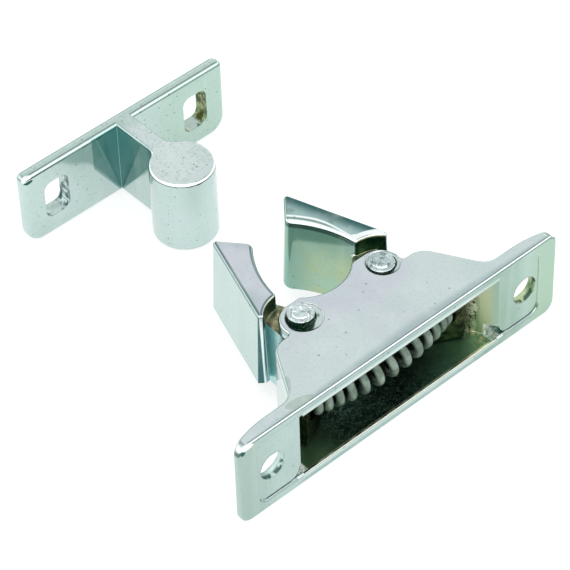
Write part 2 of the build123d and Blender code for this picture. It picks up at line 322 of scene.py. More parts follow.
# Node helpers
class Nodes:
    """Short ways to add and link nodes in one tree."""

    def __init__(self, tree):
        self.tree = tree

    def add(self, kind, **values):
        node = self.tree.nodes.new(kind)
        for name, value in values.items():
            setattr(node, name, value)
        return node

    def link(self, source, target):
        self.tree.links.new(source, target)

    def put(self, socket, value):
        if isinstance(value, bpy.types.NodeSocket):
            self.link(value, socket)
        else:
            socket.default_value = value

    def math(self, operation, a, b=0.0, clamp=False):
        node = self.add("ShaderNodeMath", operation=operation, use_clamp=clamp)
        self.put(node.inputs[0], a)
        self.put(node.inputs[1], b)
        return node.outputs[0]

    def less(self, a, b):
        return self.math("SUBTRACT", a, b)

    def plus(self, a, b):
        return self.math("ADD", a, b)

    def times(self, *values):
        result = values[0]
        for value in values[1:]:
            result = self.math("MULTIPLY", result, value)
        return result

    def size(self, value):
        return self.math("ABSOLUTE", value)

    def either(self, a, b):
        """The larger of two masks."""
        return self.math("MAXIMUM", a, b)

    def length(self, a, b):
        return self.math("SQRT", self.plus(self.times(a, a), self.times(b, b)))

    def vector_math(self, operation, a, b):
        node = self.add("ShaderNodeVectorMath", operation=operation)
        self.put(node.inputs[0], a)
        self.put(node.inputs[1], b)
        return node.outputs

    def split(self, vector):
        node = self.add("ShaderNodeSeparateXYZ")
        self.link(vector, node.inputs[0])
        return node.outputs

    def noise(self, vector, scale, detail=3.0, roughness=0.5, distortion=0.0):
        node = self.add("ShaderNodeTexNoise")
        self.link(vector, node.inputs["Vector"])
        self.put(node.inputs["Scale"], scale)
        node.inputs["Detail"].default_value = detail
        node.inputs["Roughness"].default_value = roughness
        node.inputs["Distortion"].default_value = distortion
        return node.outputs[0]

    def mottle(self, vector, scale, low, high, **noise_values):
        """A noise turned into soft patches: 0 below low and 1 above high."""
        return self.step(self.noise(vector, scale, **noise_values), low, high)

    def step(self, value, low, high):
        """0 at low and 1 at high, smooth between; high may be the lower one."""
        node = self.add("ShaderNodeMapRange", interpolation_type="SMOOTHSTEP")
        self.put(node.inputs["Value"], value)
        ends, outs = ((low, high), (0.0, 1.0)) if low <= high else ((high, low), (1.0, 0.0))
        node.inputs["From Min"].default_value, node.inputs["From Max"].default_value = ends
        node.inputs["To Min"].default_value, node.inputs["To Max"].default_value = outs
        return node.outputs[0]

    def band(self, value, low, high, soft):
        """1 between low and high, 0 outside."""
        rise = self.step(value, low - soft, low + soft)
        fall = self.step(value, high + soft, high - soft)
        return self.times(rise, fall)

    def mix(self, factor, a, b):
        node = self.add("ShaderNodeMix", data_type="RGBA")
        self.put(node.inputs[0], factor)
        self.put(node.inputs[6], a)
        self.put(node.inputs[7], b)
        return node.outputs[2]

    def bump(self, strength, distance, height, normal=None):
        node = self.add("ShaderNodeBump")
        self.put(node.inputs["Strength"], strength)
        node.inputs["Distance"].default_value = distance
        self.link(height, node.inputs["Height"])
        if normal is not None:
            self.link(normal, node.inputs["Normal"])
        return node.outputs[0]

    def place(self):
        """The object's own coordinates in metres, as a vector and as X, Y and Z."""
        position = self.add("ShaderNodeTexCoord").outputs["Object"]
        return position, self.split(position)

    def facing(self):
        """The surface's normal, split into X, Y and Z."""
        return self.split(self.add("ShaderNodeNewGeometry").outputs["Normal"])

    def group(self, tree, **values):
        node = self.add("ShaderNodeGroup")
        node.node_tree = tree
        for name, value in values.items():
            self.put(node.inputs[name.replace("_", " ")], value)
        return node.outputs


# Kinds of a node group's sockets
NUMBER = "NodeSocketFloat"
VECTOR = "NodeSocketVector"
COLOUR = "NodeSocketColor"


def new_group(name, inputs, outputs):
    """A node group; each input has its name, kind and value, each output its name and kind."""
    tree = bpy.data.node_groups.new(name, "ShaderNodeTree")
    for label, kind, value in inputs:
        socket = tree.interface.new_socket(name=label, in_out="INPUT", socket_type=kind)
        if value is not None:
            socket.default_value = value
    for label, kind in outputs:
        tree.interface.new_socket(name=label, in_out="OUTPUT", socket_type=kind)
    kit = Nodes(tree)
    return tree, kit, kit.add("NodeGroupInput").outputs, kit.add("NodeGroupOutput").inputs


def new_material(name):
    material = bpy.data.materials.new(name)
    material.use_nodes = True
    tree = material.node_tree
    tree.nodes.clear()
    kit = Nodes(tree)
    shader = kit.add("ShaderNodeBsdfPrincipled")
    output = kit.add("ShaderNodeOutputMaterial")
    kit.link(shader.outputs[0], output.inputs[0])
    return material, kit, shader


def dress(material, *names):
    for name in names:
        data = nodes[name].data
        data.materials.clear()
        data.materials.append(material)


# Effects that several materials use
def soft_edge_group():
    """Edges rounder than the casting's own: their normal, and masks for a painted sheen, a painted
    highlight line and painted dark reflection lines along them.
    """
    tree, kit, given, result = new_group(
        "soft edge",
        [("Radius", NUMBER, 0.4 * MM), ("Light Width", NUMBER, 0.17)],
        [("Normal", VECTOR), ("Sheen", NUMBER), ("Light", NUMBER), ("Dark", NUMBER)])
    bevel = kit.add("ShaderNodeBevel", samples=8)
    kit.link(given["Radius"], bevel.inputs["Radius"])
    rounded = bevel.outputs[0]
    plain = kit.add("ShaderNodeNewGeometry").outputs["Normal"]
    likeness = kit.vector_math("DOT_PRODUCT", rounded, plain)["Value"]
    _, back, rise = kit.split(rounded)
    # The painted highlight line lies where the edge faces up and not back, between two painted dark
    # reflection lines
    light_rise = 0.69
    off = kit.math("DIVIDE", kit.size(kit.less(rise, light_rise)), given["Light Width"])
    light = kit.times(kit.step(off, 1.2, 0.8), kit.step(back, 0.45, 0.15))
    above = kit.band(rise, 0.90, 0.975, 0.015)
    below = kit.band(rise, 0.20, 0.46, 0.05)
    kit.link(rounded, result["Normal"])
    kit.link(kit.step(likeness, 0.985, 0.86), result["Sheen"])
    kit.link(light, result["Light"])
    kit.link(kit.either(kit.times(above, 0.7), below), result["Dark"])
    return tree


def pits_group():
    """Small round pits of a casting under its plating."""
    tree, kit, given, result = new_group(
        "casting pits", [("Position", VECTOR, None), ("Density", NUMBER, 0.5)], [("Mask", NUMBER)])
    cells = kit.add("ShaderNodeTexVoronoi", feature="F1")
    kit.link(given["Position"], cells.inputs["Vector"])
    cells.inputs["Scale"].default_value = 900.0
    chance = kit.add("ShaderNodeSeparateColor")
    kit.link(cells.outputs["Color"], chance.inputs[0])
    radius = kit.plus(0.10, kit.times(chance.outputs[1], 0.16))
    dot = kit.step(kit.less(cells.outputs["Distance"], radius), 0.06, -0.04)
    limit = kit.less(1.0, kit.times(given["Density"], 0.12))
    chosen = kit.math("GREATER_THAN", chance.outputs[0], limit)
    kit.link(kit.times(dot, chosen), result["Mask"])
    return tree


def plating_group():
    """Bright plating: cloudy tone, roughness, pits, the faint waves of the casting under it, and a painted
    sheen, highlight line and dark reflection lines along its edges.
    """
    tree, kit, given, result = new_group(
        "bright plating",
        [("Position", VECTOR, None), ("Tone", COLOUR, MINT), ("Cloud", COLOUR, DEEP_MINT),
         ("Roughness", NUMBER, 0.1), ("Waves", NUMBER, 0.1), ("Pits", NUMBER, 0.5),
         ("Edge", NUMBER, 0.4 * MM), ("Edge Light", NUMBER, 0.7), ("Edge Dark", NUMBER, 0.6),
         ("Light Width", NUMBER, 0.17)],
        [("Color", COLOUR), ("Roughness", NUMBER), ("Normal", VECTOR)])
    position = given["Position"]
    cloud = kit.noise(position, 70.0, detail=5.0, roughness=0.6)
    tone = kit.mix(kit.step(cloud, 0.40, 0.68), given["Tone"], given["Cloud"])
    # Faint upright streaks
    upright = kit.add("ShaderNodeMapping")
    upright.inputs["Scale"].default_value = (1, 1, 0.06)
    kit.link(position, upright.inputs["Vector"])
    streak = kit.mottle(upright.outputs[0], 170.0, 0.50, 0.68, detail=2.0)
    tone = kit.mix(kit.times(streak, 0.2), tone, STREAK_GREY)
    grain = kit.mottle(position, 1400.0, 0.48, 0.78, detail=2.0)
    tone = kit.mix(kit.times(grain, 0.12), tone, GRAIN_GREY)
    pit = kit.group(pits, Position=position, Density=given["Pits"])["Mask"]
    tone = kit.mix(kit.times(pit, 0.5), tone, PIT_BLACK)
    edge = kit.group(soft_edge, Radius=given["Edge"], Light_Width=given["Light Width"])
    # Painted sheen, dark reflection lines and highlight line along the edges
    tone = kit.mix(kit.times(edge["Sheen"], 0.22), tone, SHEEN_SILVER)
    tone = kit.mix(kit.times(edge["Dark"], given["Edge Dark"]), tone, EDGE_TEAL)
    tone = kit.mix(kit.times(edge["Light"], given["Edge Light"]), tone, EDGE_SILVER)
    wave = kit.noise(position, 110.0, detail=2.0)
    fine = kit.times(kit.noise(position, 800.0, detail=2.0), 0.06)
    height = kit.less(kit.plus(wave, fine), kit.times(pit, 0.25))
    kit.link(tone, result["Color"])
    kit.link(kit.plus(given["Roughness"], kit.times(cloud, 0.05)), result["Roughness"])
    kit.link(kit.bump(given["Waves"], 0.3 * MM, height, edge["Normal"]), result["Normal"])
    return tree


def stain_and_shade_group():
    """Blotches in two tones: dried oil and dull metal, and also painted shade on the jaws' recess walls.
    """
    tree, kit, given, result = new_group(
        "dull stain",
        [("Position", VECTOR, None), ("Dark", COLOUR, DARK_OLIVE), ("Light", COLOUR, OLIVE),
         ("Scale", NUMBER, 500.0)],
        [("Color", COLOUR)])
    blotch = kit.mottle(given["Position"], given["Scale"], 0.40, 0.64, detail=5.0, roughness=0.75)
    kit.link(kit.mix(blotch, given["Dark"], given["Light"]), result["Color"])
    return tree


def oval_mark_group():
    """A soft oval mark, turned about Z; it runs right through where its half size is a metre."""
    tree, kit, given, result = new_group(
        "oval mark",
        [("Position", VECTOR, None), ("Middle", VECTOR, (0, 0, 0)),
         ("Half Size", VECTOR, (MM, MM, THROUGH)), ("Turn", NUMBER, 0.0)],
        [("Mask", NUMBER)])
    turn = kit.add("ShaderNodeCombineXYZ")
    kit.link(given["Turn"], turn.inputs["Z"])
    local = kit.add("ShaderNodeMapping", vector_type="TEXTURE")
    kit.link(given["Position"], local.inputs["Vector"])
    kit.link(given["Middle"], local.inputs["Location"])
    kit.link(turn.outputs[0], local.inputs["Rotation"])
    kit.link(given["Half Size"], local.inputs["Scale"])
    square = kit.vector_math("DOT_PRODUCT", local.outputs[0], local.outputs[0])["Value"]
    kit.link(kit.step(square, 1.15, 0.85), result["Mask"])
    return tree


def jaw_depths_group():
    """Distances from a jaw's pivot and depths behind its edges; Side is 1 right and -1 left."""
    tree, kit, given, result = new_group(
        "jaw depths",
        [("Position", VECTOR, None), ("Pivot", VECTOR, (0, 0, 0)), ("Side", NUMBER, 1.0)],
        [("Out", NUMBER), ("Ahead", NUMBER), ("Reach", NUMBER), ("Recess Depth", NUMBER),
         ("Inner Depth", NUMBER), ("Outer Depth", NUMBER), ("Drop", NUMBER)])
    offset = kit.vector_math("SUBTRACT", given["Position"], given["Pivot"])["Vector"]
    across, ahead, height = kit.split(offset)
    out = kit.times(across, given["Side"])
    reach = kit.length(out, ahead)
    # The grip and the recess have round edges, the outer edge is straight
    grip = kit.less(kit.length(kit.plus(out, GRIP_RADIUS), kit.less(ahead, GRIP_AHEAD)), GRIP_RADIUS)
    recess = kit.less(reach, RECESS_RADIUS)
    toward_edge = kit.plus(kit.times(out, OUTER_EDGE_FACING[0]), kit.times(ahead, OUTER_EDGE_FACING[1]))
    kit.link(out, result["Out"])
    kit.link(ahead, result["Ahead"])
    kit.link(reach, result["Reach"])
    kit.link(recess, result["Recess Depth"])
    kit.link(kit.math("MINIMUM", grip, recess), result["Inner Depth"])
    kit.link(kit.less(OUTER_EDGE_AWAY, toward_edge), result["Outer Depth"])
    kit.link(kit.less(JAW_TOP, height), result["Drop"])
    return tree


def jaw_recess_group():
    """The recess round a jaw's hub: its wall in painted shade, pale at its foot on one jaw, gold hub and
    oily tail.
    """
    tree, kit, given, result = new_group(
        "jaw recess",
        [("Position", VECTOR, None), ("Reach", NUMBER, 0.0), ("Ahead", NUMBER, 0.0),
         ("Drop", NUMBER, 0.0), ("Pale Foot", NUMBER, 0.0)],
        [("Color", COLOUR), ("Mask", NUMBER)])
    position = given["Position"]
    # The recess wall in painted shade, mottled
    wall = kit.group(stain_and_shade, Position=position, Dark=RECESS_DARK, Light=RECESS_LIGHT, Scale=300.0)["Color"]
    foot = kit.times(kit.step(given["Drop"], 3.4 * MM, 4.6 * MM), given["Pale Foot"])
    wall = kit.mix(foot, wall, RECESS_FOOT)
    hub = kit.group(stain_and_shade, Position=position, Dark=HUB_BROWN, Light=HUB_GOLD, Scale=420.0)["Color"]
    upright = kit.step(kit.size(kit.facing()[2]), 0.5, 0.3)
    oily = kit.group(stain_and_shade, Position=position, Dark=TAIL_DARK, Light=TAIL_LIGHT, Scale=520.0)["Color"]
    height = kit.less(JAW_TOP, given["Drop"])
    between_decks = kit.band(height, -TAIL_HALF_HEIGHT, TAIL_HALF_HEIGHT, 0.05 * MM)
    tail = kit.times(kit.step(given["Ahead"], 2 * MM, 0.0), between_decks)
    hollow = kit.step(given["Reach"], RECESS_RADIUS + 0.3 * MM, RECESS_RADIUS + 0.1 * MM)
    kit.link(kit.mix(tail, kit.mix(upright, hub, wall), oily), result["Color"])
    kit.link(kit.either(hollow, tail), result["Mask"])
    return tree


def corner_glint_group():
    """A painted highlight and a painted dark reflection spot on a rounded front corner, laid over a
    colour.
    """
    tree, kit, given, result = new_group(
        "corner glint",
        [("Position", VECTOR, None), ("Color", COLOUR, MINT),
         ("Bright Middle", VECTOR, (0, 0, 0)), ("Bright Half Size", VECTOR, (MM, THROUGH, MM)),
         ("Dark Middle", VECTOR, (0, 0, 0)), ("Dark Half Size", VECTOR, (MM, THROUGH, MM))],
        [("Color", COLOUR)])
    front = kit.step(kit.facing()[1], -0.1, -0.3)
    color = given["Color"]
    for kind, tone in (("Bright", GLINT), ("Dark", DARK_TEAL)):
        spot = kit.group(oval_mark, Position=given["Position"], Middle=given[kind + " Middle"],
                         Half_Size=given[kind + " Half Size"])["Mask"]
        color = kit.mix(kit.times(spot, front), color, tone)
    kit.link(color, result["Color"])
    return tree


pits = pits_group()
soft_edge = soft_edge_group()
plating = plating_group()
stain_and_shade = stain_and_shade_group()
oval_mark = oval_mark_group()
jaw_depths = jaw_depths_group()
jaw_recess = jaw_recess_group()
corner_glint = corner_glint_group()


def plate(kit, shader, **values):
    """Plating over the whole piece; its normal goes to the shader, its colour and roughness come back."""
    coat = kit.group(plating, **values)
    kit.link(coat["Normal"], shader.inputs["Normal"])
    shader.inputs["Metallic"].default_value = 1.0
    return coat["Color"], coat["Roughness"]


def deck_mark(kit, position, middle, long, wide, degrees=0):
    """An oval mark that shows on the decks."""
    return kit.group(oval_mark, Position=position, Middle=middle, Half_Size=(long, wide, THROUGH),
                     Turn=math.radians(degrees))["Mask"]


def upward(kit, facing):
    """The level faces on top; the materials give them colours of their own, a painted reflection of what
    lies above.
    """
    return kit.step(facing[2], 0.80, 0.95)


def finish_shader(kit, shader, color, roughness):
    kit.link(color, shader.inputs["Base Color"])
    kit.link(roughness, shader.inputs["Roughness"])


# Housing
def deck_tone(kit, position, x, y):
    """The decks' tops, grey with lilac clouds as a painted reflection of the sky, with painted shade along
    the rear edge, stains, and rings coined round the pins.
    """
    tone = kit.mix(kit.mottle(position, 38.0, 0.42, 0.62, detail=2.0), SKY_GREY, LILAC)
    tone = kit.mix(kit.times(kit.step(x, 10 * MM, 34 * MM), 0.8), tone, RIGHT_DECK)
    # Shade that the rolled rear edge carries, widest beside the middle
    widest_x, widest, narrowing = 4 * MM, 3.6 * MM, 0.055
    width = kit.less(widest, kit.times(kit.size(kit.less(x, widest_x)), narrowing))
    shade = kit.step(kit.math("DIVIDE", y, width), 1.0, 0.28)
    tone = kit.mix(kit.times(shade, 0.55), tone, DECK_SHADE)
    # Green stains at the left shoulder
    stains = kit.math(
        "ADD", deck_mark(kit, position, mm(-27.5, 7.0, 0), 2.6 * MM, 0.8 * MM, 49),
        deck_mark(kit, position, mm(-28.7, 1.6, 0), 3.6 * MM, 1.3 * MM, -12), clamp=True)
    tone = kit.mix(kit.times(stains, 0.7), tone, SHOULDER_STAIN)
    rings = kit.math(
        "ADD", deck_mark(kit, position, LEFT_PIVOT + mm(0.7, -0.5, 0), 4.2 * MM, 4.2 * MM),
        deck_mark(kit, position, RIGHT_PIVOT + mm(0.5, 0, 0), 3.9 * MM, 3.9 * MM), clamp=True)
    tone = kit.mix(kit.times(rings, 0.5), tone, RING_SAGE)
    fleck = deck_mark(kit, position, mm(-8.4, 18.0, 0), 0.6 * MM, 0.3 * MM, 50)
    return kit.mix(fleck, tone, RING_FLECK)


def flange_tone(kit, x, z):
    """The housing's upright faces, with a painted dark line and a painted highlight along the window's
    thin rims.
    """
    tone = kit.mix(kit.band(x, 23.5 * MM, 37 * MM, 4 * MM), MINT, FLANGE_GREEN)
    tone = kit.mix(kit.step(x, 37 * MM, 42 * MM), tone, RIGHT_END)
    tone = kit.mix(kit.step(x, -36 * MM, -44 * MM), tone, LEFT_END)
    beside = kit.band(x, -WINDOW_HALF_WIDTH, WINDOW_HALF_WIDTH, 2 * MM)
    # Painted dark reflection lines near the top and bottom edges, and a painted highlight on the window's
    # lips
    rims = kit.math("ADD", kit.band(z, 10.6 * MM, 11.1 * MM, 0.1 * MM),
                    kit.band(z, -11.2 * MM, -10.7 * MM, 0.1 * MM), clamp=True)
    tone = kit.mix(kit.times(rims, beside, 0.7), tone, RIM_LINE)
    lips = kit.times(kit.band(kit.size(z), 9.2 * MM, 10.0 * MM, 0.1 * MM), beside)
    return kit.mix(kit.times(lips, 0.5), tone, LIP_LIGHT)


def chamber_tone(kit, position, facing, corner):
    """The chamber: oily floor, ragged gold patch on the right wall, and painted highlights as bright
    flecks in the lower corners.
    """
    x, y, z = kit.split(position)
    oily = kit.group(stain_and_shade, Position=position, Dark=DARK_OLIVE, Light=OLIVE, Scale=520.0)["Color"]
    floor = kit.mix(kit.step(x, -14 * MM, -26 * MM), oily, kit.mix(0.6, oily, LEFT_FLOOR))
    floor = kit.mix(kit.times(kit.step(x, 2 * MM, 24 * MM), 0.6), floor, kit.mix(0.6, floor, RIGHT_FLOOR))
    speck = kit.mottle(position, 2100.0, 0.54, 0.64, detail=2.0)
    floor = kit.mix(kit.times(speck, 0.6), floor, FLOOR_SPECK)
    dust = kit.times(kit.mottle(position, 1100.0, 0.50, 0.58, detail=4.0, roughness=0.8),
                     kit.step(x, 22.5 * MM, 26.5 * MM), kit.step(z, -4 * MM, -7 * MM))
    floor = kit.mix(kit.times(dust, 0.8), floor, GOLD_DUST)
    # Right wall, from its flare inward: mint, gold, then oil
    jitter = kit.times(kit.less(kit.noise(position, 500.0), 0.5), 4 * MM)
    ragged = kit.plus(y, jitter)
    flare = kit.mix(kit.step(y, 0.6 * MM, 3.2 * MM), FLARE_MINT, FLARE_GOLD)
    patches = kit.mottle(position, 520.0, 0.42, 0.56, detail=6.0, roughness=0.85)
    gilt = kit.mix(patches, OLD_GOLD, BRIGHT_GOLD)
    dark_specks = kit.mottle(position, 1100.0, 0.54, 0.60, roughness=0.8)
    gilt = kit.mix(dark_specks, gilt, DARK_OLIVE)
    wall = kit.mix(kit.step(ragged, 4.4 * MM, 5.0 * MM), flare, gilt)
    wall = kit.mix(kit.step(ragged, 8.4 * MM, 9.2 * MM), wall, kit.mix(0.6, oily, DARK_OLIVE))
    right_wall = kit.times(kit.step(facing[0], -0.35, -0.6), kit.step(x, 20 * MM, 22 * MM))
    tone = kit.mix(right_wall, floor, wall)
    # Painted highlights in the lower corners, fainter to the right
    fleck = kit.mottle(position, 900.0, 0.42, 0.54, detail=4.0, roughness=0.7)
    amount = kit.less(0.9, kit.times(kit.step(x, 0.0, 10 * MM), 0.35))
    return kit.mix(kit.times(corner, amount), tone, kit.mix(fleck, CORNER_GREEN, GLINT))


def bore_tone(kit, position, x, y):
    """Dull bores of the screw holes: pale left, olive right, stained along their rear edges."""
    tone = kit.mix(kit.step(x, -1 * MM, 1 * MM), BORE_PALE, BORE_OLIVE)
    stains = kit.times(kit.mottle(position, 560.0, 0.44, 0.52), kit.step(y, 1.9 * MM, 1.1 * MM))
    return kit.mix(kit.times(stains, 0.9), tone, BORE_STAIN)


def housing_plating():
    """Chrome on the housing, with the dull stained chamber inside it."""
    material, kit, shader = new_material("housing_plating")
    position, (x, y, z) = kit.place()
    facing = kit.facing()
    top = upward(kit, facing)
    side_x, side_z = kit.size(x), kit.size(z)
    # Painted reflection: the tops take other colours than the upright faces
    tone = kit.mix(top, flange_tone(kit, x, z), deck_tone(kit, position, x, y))
    cloud = kit.mix(0.35, tone, kit.mix(top, DEEP_MINT, DECK_CLOUD))
    # The sunk pads' steps get painted shade, with little of the painted edge highlight
    pad = kit.times(
        kit.step(side_x, PAD_START_X, PAD_START_X + 0.5 * MM), kit.step(y, 0.7 * MM, 0.5 * MM),
        kit.step(side_z, PAD_HALF_HEIGHT, PAD_HALF_HEIGHT - 0.3 * MM))
    color, rough = plate(
        kit, shader, Position=position, Tone=tone, Cloud=cloud, Roughness=0.09, Waves=0.10, Pits=0.6,
        Edge=0.6 * MM, Edge_Light=kit.less(0.8, kit.times(pad, 0.65)), Edge_Dark=0.75, Light_Width=0.17)
    color = kit.mix(kit.times(pad, top, 0.6), color, PAD_EDGE)
    # Painted highlight and painted dark reflection on the flange's upper left corner
    color = kit.group(
        corner_glint, Position=position, Color=color,
        Bright_Middle=mm(-45.0, 0, 11.2), Bright_Half_Size=(1.6 * MM, THROUGH, 0.6 * MM),
        Dark_Middle=mm(-46.3, 0, 10.2), Dark_Half_Size=(0.6 * MM, THROUGH, 0.6 * MM))["Color"]
    # The chamber between the decks, without the walls' outer sides and the flange's rear
    outward = kit.step(kit.times(facing[0], kit.math("SIGN", x)), 0.35, 0.15)
    inside = kit.times(
        kit.band(x, -CHAMBER_HALF_WIDTH, CHAMBER_HALF_WIDTH, 0.2 * MM), kit.step(y, 0.4 * MM, 0.8 * MM),
        kit.band(z, -CHAMBER_HALF_HEIGHT, CHAMBER_HALF_HEIGHT, 0.05 * MM),
        outward, kit.step(facing[1], 0.6, 0.4))
    # The chamber's lower corners by the window, where highlights are painted
    corner = kit.times(kit.step(side_x, 27.6 * MM, 28.1 * MM), kit.step(z, -5.6 * MM, -6.2 * MM),
                       kit.step(y, 3.8 * MM, 3.0 * MM))
    color = kit.mix(inside, color, chamber_tone(kit, position, facing, corner))
    rough = kit.plus(rough, kit.times(inside, kit.less(0.28, kit.times(corner, 0.23))))
    from_hole = kit.length(kit.less(side_x, HOLE_X), z)
    bore = kit.step(from_hole, HOLE_RADIUS + 0.1 * MM, HOLE_RADIUS)
    color = kit.mix(bore, color, bore_tone(kit, position, x, y))
    rough = kit.plus(rough, kit.times(bore, 0.3))
    # A painted cream highlight along the window's lower edge
    line = kit.times(kit.band(z, -9.7 * MM, -8.8 * MM, 0.1 * MM), kit.step(y, 0.9 * MM, 0.5 * MM),
                     kit.band(x, -28 * MM, 29 * MM, 1 * MM), kit.step(facing[2], 0.2, 0.45))
    finish_shader(kit, shader, kit.mix(line, color, CREAM), rough)
    # Less metallic under the painted corner highlights
    kit.link(kit.less(1.0, kit.times(corner, inside, 0.7)), shader.inputs["Metallic"])
    return material


# Jaws
def right_jaw_tones(kit, position, facing, z, depths):
    """Top and sides of the right jaw: on its top a painted reflection and a broad painted highlight along
    the inner edge, as if the top were rolled, and a grip that shows green and yellow as a painted
    reflection.
    """
    ahead, drop = depths["Ahead"], depths["Drop"]
    # Painted reflection on the top: dark teal by the outer edge, green further in
    crown = kit.mix(kit.step(depths["Outer Depth"], 0.6 * MM, 4.2 * MM), DARK_TEAL, CROWN_GREEN)
    smear = kit.mottle(position, 260.0, 0.52, 0.66)
    crown = kit.mix(kit.times(smear, 0.45), crown, CROWN_SMEAR)
    # A broad painted highlight along the inner edge, as on a rolled edge, split by a painted grey line
    wide = kit.plus(1.1 * MM, kit.times(kit.step(ahead, 10 * MM, 21 * MM), 1.3 * MM))
    round_recess = kit.times(kit.step(depths["Recess Depth"], 3 * MM, 2 * MM), 1.9 * MM)
    share = kit.math("DIVIDE", depths["Inner Depth"], kit.either(wide, round_recess))
    crown = kit.mix(kit.step(share, 1.1, 0.92), crown, ROLLED_LIGHT)
    line = kit.times(kit.band(share, 0.45, 0.75, 0.06), kit.step(ahead, 11 * MM, 17 * MM))
    crown = kit.mix(line, crown, ROLLED_LINE)
    # The inward grip face, painted green and yellow as a reflection, darker toward its top and far end
    grip = kit.mix(kit.mottle(position, 110.0, 0.40, 0.60, detail=2.0), GRIP_GREEN, GRIP_YELLOW)
    rim = kit.either(kit.step(z, 2 * MM, 11 * MM), kit.step(ahead, 16 * MM, 23 * MM))
    grip = kit.mix(kit.times(rim, 0.8), grip, GRIP_RIM)
    inward = kit.step(facing[0], -0.3, -0.6)
    sides = kit.mix(inward, MINT, grip)
    # Painted dark reflection line just under the top edge
    under = kit.band(drop, 0.8 * MM, 1.6 * MM, 0.2 * MM)
    return crown, kit.mix(kit.times(under, 0.85), sides, UNDER_EDGE)


def left_jaw_tones(kit, position, facing, depths):
    """Top and sides of the left jaw, whose flat top has a painted dark outline and whose heel shows
    painted reflection bands.
    """
    crown = kit.mix(kit.mottle(position, 60.0, 0.40, 0.60, detail=2.0), LEFT_CROWN, LILAC)
    # Painted dark reflection line along the top's inner and outer edges
    outline = kit.either(kit.step(depths["Inner Depth"], 0.9 * MM, 0.7 * MM),
                         kit.step(depths["Outer Depth"], 0.9 * MM, 0.7 * MM))
    crown = kit.mix(kit.times(outline, 0.7), crown, EDGE_TEAL)
    # The heel's narrow end shows a painted dark reflection band and a painted highlight line beside it
    heel = kit.times(kit.step(facing[1], -0.45, -0.75), kit.step(depths["Ahead"], 10.5 * MM, 9.5 * MM))
    bands = kit.mix(kit.step(depths["Out"], 7.2 * MM, 7.0 * MM), HEEL_TEAL, HEEL_LIGHT)
    return crown, kit.mix(heel, MINT, bands)


def jaw_plating(name, pivot, is_right, edge, cloudiness, edge_light, edge_dark):
    """Chrome on a jaw, with the dull recess round its hub."""
    material, kit, shader = new_material(name)
    position, (_, _, z) = kit.place()
    facing = kit.facing()
    depths = kit.group(jaw_depths, Position=position, Pivot=pivot, Side=1.0 if is_right else -1.0)
    if is_right:
        crown, sides = right_jaw_tones(kit, position, facing, z, depths)
    else:
        crown, sides = left_jaw_tones(kit, position, facing, depths)
    # Painted reflection: the top takes other colours than the sides
    tone = kit.mix(upward(kit, facing), sides, crown)
    cloud = kit.mix(cloudiness, tone, DEEP_MINT)
    color, rough = plate(
        kit, shader, Position=position, Tone=tone, Cloud=cloud, Roughness=0.06, Waves=0.10, Pits=0.5,
        Edge=edge, Edge_Light=edge_light, Edge_Dark=edge_dark, Light_Width=0.17)
    recess = kit.group(
        jaw_recess, Position=position, Reach=depths["Reach"], Ahead=depths["Ahead"], Drop=depths["Drop"],
        Pale_Foot=0.0 if is_right else 1.0)
    rough = kit.plus(rough, kit.times(recess["Mask"], 0.25))
    finish_shader(kit, shader, kit.mix(recess["Mask"], color, recess["Color"]), rough)
    return material


# Strike
def mirrored_corner(kit, facing, x, y, height, sides):
    """Painted darker reflections where the plate and the web mirror each other beside their corner."""
    web_x = STRIKE_X - WEB_HALF
    beside = kit.less(web_x, x)
    ahead = kit.less(STRIKE_FACE_Y, y)
    on_plate = kit.times(
        kit.step(facing[1], -0.5, -0.8), kit.band(beside, -0.1 * MM, PLATE_MIRROR_WIDTH, 0.1 * MM),
        kit.step(kit.less(height, kit.times(beside, PLATE_MIRROR_RISE)), -0.2 * MM, 0.4 * MM),
        kit.step(y, STRIKE_FACE_Y - 0.8 * MM, STRIKE_FACE_Y - 0.4 * MM))
    on_web = kit.times(
        kit.step(facing[0], -0.5, -0.8),
        kit.step(ahead, WEB_MIRROR_LENGTH + 0.5 * MM, WEB_MIRROR_LENGTH - 0.5 * MM),
        kit.step(x, web_x - 0.4 * MM, web_x - 0.1 * MM),
        kit.step(kit.less(height, kit.times(ahead, WEB_MIRROR_RISE)), -0.2 * MM, 0.4 * MM))
    plate_low = kit.step(kit.less(height, kit.times(beside, 2 * PLATE_MIRROR_RISE)), 0.3 * MM, -0.3 * MM)
    web_low = kit.step(kit.less(height, kit.times(ahead, 2 * WEB_MIRROR_RISE)), 0.3 * MM, -0.3 * MM)
    low = kit.either(kit.times(on_plate, plate_low), kit.times(on_web, web_low))
    return kit.mix(low, kit.mix(kit.either(on_plate, on_web), sides, MIRROR_TEAL), MIRROR_LOW)


